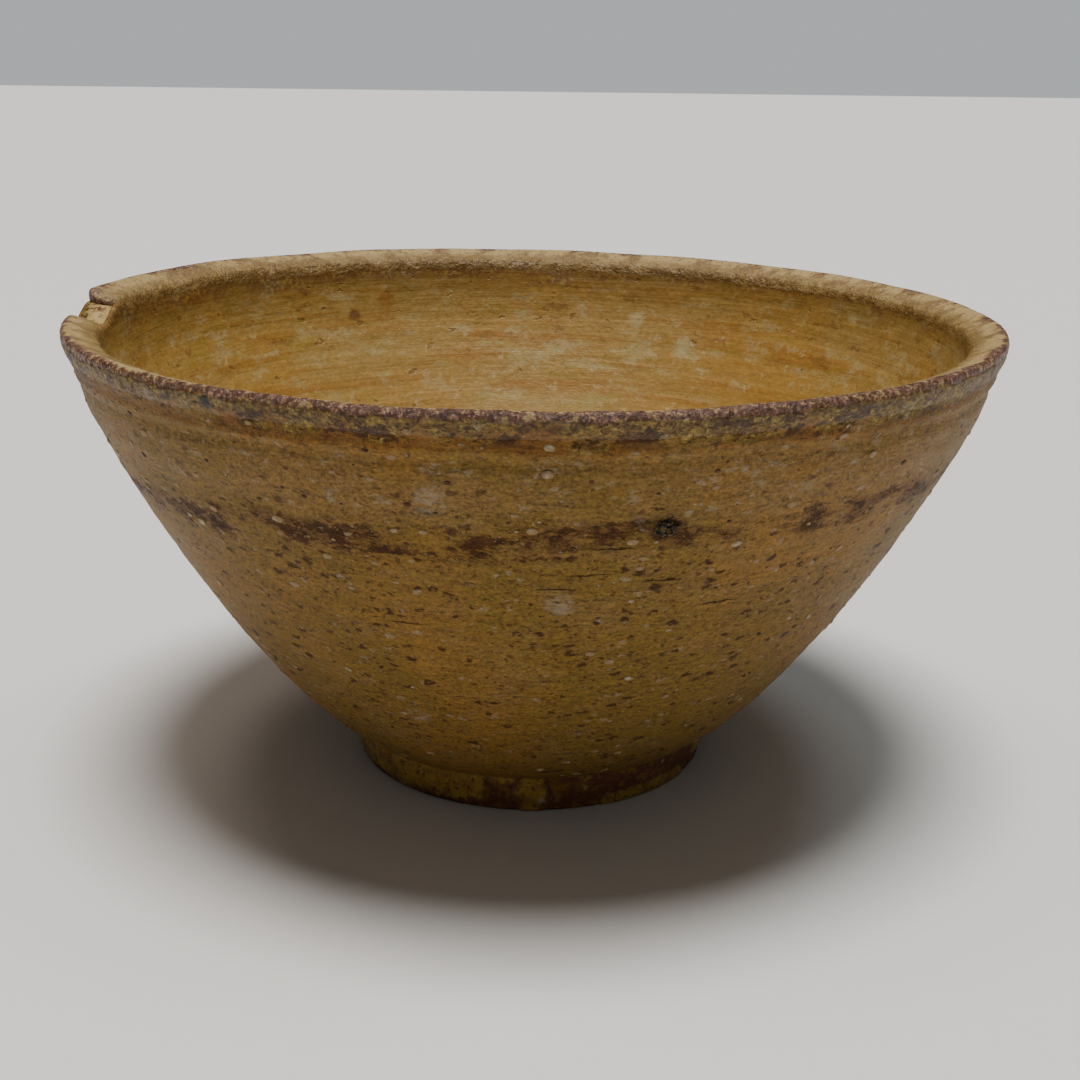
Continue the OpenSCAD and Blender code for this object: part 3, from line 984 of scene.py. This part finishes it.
def stone_middles(node):
    """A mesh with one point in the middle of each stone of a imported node."""
    work = bmesh.new()
    work.from_mesh(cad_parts[node].data)
    bmesh.ops.remove_doubles(work, verts=work.verts, dist=SAME_POINT)
    work.verts.ensure_lookup_table()
    left = set(work.verts)
    middles = []
    while left:
        stone, edge = set(), [min(left, key=lambda v: v.index)]
        while edge:
            vertex = edge.pop()
            if vertex not in stone:
                stone.add(vertex)
                edge.extend(e.other_vert(vertex) for e in vertex.link_edges)
        left -= stone
        corners = [v.co for v in stone]
        middles.append([(min(c[k] for c in corners) + max(c[k] for c in corners)) / 2 for k in range(3)])
    work.free()
    mesh = bpy.data.meshes.new(node + "_middles")
    mesh.from_pydata(middles, [], [])
    return mesh


def strew_tree():
    """Stones at the given points, and smaller ones strewn over the outer face of a coat."""
    recipe, given, keys = new_tree(
        "strew",
        {
            "Coat": "NodeSocketObject",
            "Per square metre": "NodeSocketFloat",
            "Seed": "NodeSocketInt",
            "Small": "NodeSocketFloat",
            "Large": "NodeSocketFloat",
            "Stone": "NodeSocketFloat",
            "Burst": "NodeSocketFloat",
            "Finish": "NodeSocketMaterial",
        },
    )
    coat = recipe.add("GeometryNodeObjectInfo", None, {"Object": given["Coat"]}, "Geometry")
    place = recipe.add("GeometryNodeInputPosition")
    outwards = way_out(recipe, place)
    facing = recipe.vectors("DOT_PRODUCT", recipe.add("GeometryNodeInputNormal"), outwards, "Value")
    _, _, z = recipe.split(place)
    chosen = facing.maths("GREATER_THAN", 0.4) * z.maths("LESS_THAN", LIP_ZONE_Z + 3 * MM)
    crowd = recipe.ease(recipe.noise(place, 18 * MM, 2), 0.35, 0.62, 0.35, 1.6)
    sockets = {
        "Mesh": coat,
        "Selection": chosen,
        "Density": crowd * given["Per square metre"],
        "Seed": given["Seed"],
    }
    points = recipe.add("GeometryNodeDistributePointsOnFaces", {"distribute_method": "RANDOM"}, sockets)
    blob = recipe.add("GeometryNodeMeshUVSphere", None, {"Segments": 8, "Rings": 5, "Radius": 1.0})
    luck = recipe.add("FunctionNodeRandomValue", {"data_type": "FLOAT"}, {"Seed": given["Seed"]}, "Value")
    size = given["Small"] + (given["Large"] - given["Small"]) * luck ** 3.0
    sockets = {
        "Points": points,
        "Instance": blob,
        "Rotation": points.also("Rotation"),
        "Scale": recipe.join(size * 1.25, size * 0.9, size * 0.3),
    }
    strewn = recipe.add("GeometryNodeInstanceOnPoints", None, sockets)
    upright = recipe.add("FunctionNodeAlignRotationToVector", {"axis": "Z"}, {"Vector": outwards})
    stone_size = given["Stone"] * (luck * 0.5 + 0.75)
    sockets = {
        "Points": given["Geometry"],
        "Instance": blob,
        "Rotation": upright,
        "Scale": recipe.join(stone_size * 1.2, stone_size * 0.9, stone_size * 0.45),
    }
    stones = recipe.add("GeometryNodeInstanceOnPoints", None, sockets)
    ball = recipe.add("GeometryNodeMeshIcoSphere", None, {"Subdivisions": 5, "Radius": given["Burst"]})
    flattened = recipe.add(
        "GeometryNodeTransform", None, {"Geometry": ball, "Translation": BURST_SEAT, "Scale": (1.1, 0.6, 0.8)}
    )
    crust = recipe.noise(place, 0.8 * MM, 3, 0.7, out="Color")
    rugged = recipe.vectors("SUBTRACT", crust, (0.5, 0.5, 0.5))
    shift = recipe.scaled(rugged, given["Burst"] * 1.1)
    burst = recipe.add("GeometryNodeSetPosition", None, {"Geometry": flattened, "Offset": shift})
    shift = recipe.scaled(rugged, 0.35 * MM)
    loose = recipe.add("GeometryNodeRealizeInstances", None, {0: recipe.joined(strewn, stones)})
    knocked = recipe.add("GeometryNodeSetPosition", None, {"Geometry": loose, "Offset": shift})
    end_tree(recipe, recipe.joined(knocked, burst), given["Finish"])
    return recipe.tree, keys


def make_stones(name, node, slot, coat, finish, **sizes):
    """All the stones of one kind, as one piece."""
    tree, keys = STREW
    values = {"Coat": coat, **sizes, "Finish": finish}
    piece = grown(name, stone_middles(node), tree, keys, values)
    closed_up(piece)
    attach(piece, "root")
    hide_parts(node)


STREW = strew_tree()
FELDSPAR = {
    "Per square metre": 34000.0,
    "Seed": 4,
    "Small": 0.14 * MM,
    "Large": 0.75 * MM,
    "Stone": 0.75 * MM,
    "Burst": 0.0,
}
IRON = {
    "Per square metre": 30000.0,
    "Seed": 11,
    "Small": 0.1 * MM,
    "Large": 0.5 * MM,
    "Stone": 0.6 * MM,
    "Burst": 1.45 * MM,
}
make_stones("feldspar", "feldspar_grains", "feldspar", outer_coat, make_stone_finish(), **FELDSPAR)
make_stones("iron", "iron_grains", "iron_stone", outer_coat, make_iron_finish(), **IRON)


# The pale floor and the soft studio light: how bright the wall looks, and how much light it gives.

WALL_BRIGHTNESS = 0.50
ROOM_LIGHT = 0.08


def set_up_studio():
    bpy.ops.mesh.primitive_plane_add(size=8)
    floor = bpy.context.object
    floor.name = "studio_floor"
    material, recipe, place = new_finish("floor_paper")
    fibres = recipe.noise(recipe.stretch(place, 1, 0.4, 1), 4 * MM, 4, 0.6)
    colour = recipe.blend(fibres * 0.25, (0.80, 0.785, 0.765), (0.70, 0.69, 0.68))
    finish_with(material, recipe, colour, 0.7 + fibres * 0.1, fibres, 0.05 * MM, 0.2)
    floor.data.materials.append(material)
    world = bpy.data.worlds.new("studio")
    world.use_nodes = True
    bpy.context.scene.world = world
    recipe = Recipe(world.node_tree)
    seen = recipe.add("ShaderNodeLightPath", None, None, "Is Camera Ray")
    sky = world.node_tree.nodes["Background"]
    sky.inputs["Color"].default_value = (0.94, 0.98, 1.0, 1)
    brightness = seen * (WALL_BRIGHTNESS - ROOM_LIGHT) + ROOM_LIGHT
    recipe.tree.links.new(brightness.socket, sky.inputs["Strength"])
    for name, tilt, aside, strength, spread, colour in (
        ("lamp_over", 3, 0, 3.55, 22, (1.0, 0.985, 0.96)),
        ("lamp_left", -8, -18, 0.35, 12, (1.0, 0.84, 0.72)),
        ("lamp_right", -8, 18, 0.35, 12, (0.78, 0.92, 1.0)),
        ("window", 62, 10, 0.10, 60, (1.0, 0.98, 0.95)),
    ):
        light = bpy.data.objects.new(name, bpy.data.lights.new(name, "SUN"))
        light.data.energy = strength
        light.data.angle = math.radians(spread)
        light.data.color = colour
        light.rotation_euler = (math.radians(tilt), math.radians(aside), 0)
        bpy.context.scene.collection.objects.link(light)


set_up_studio()
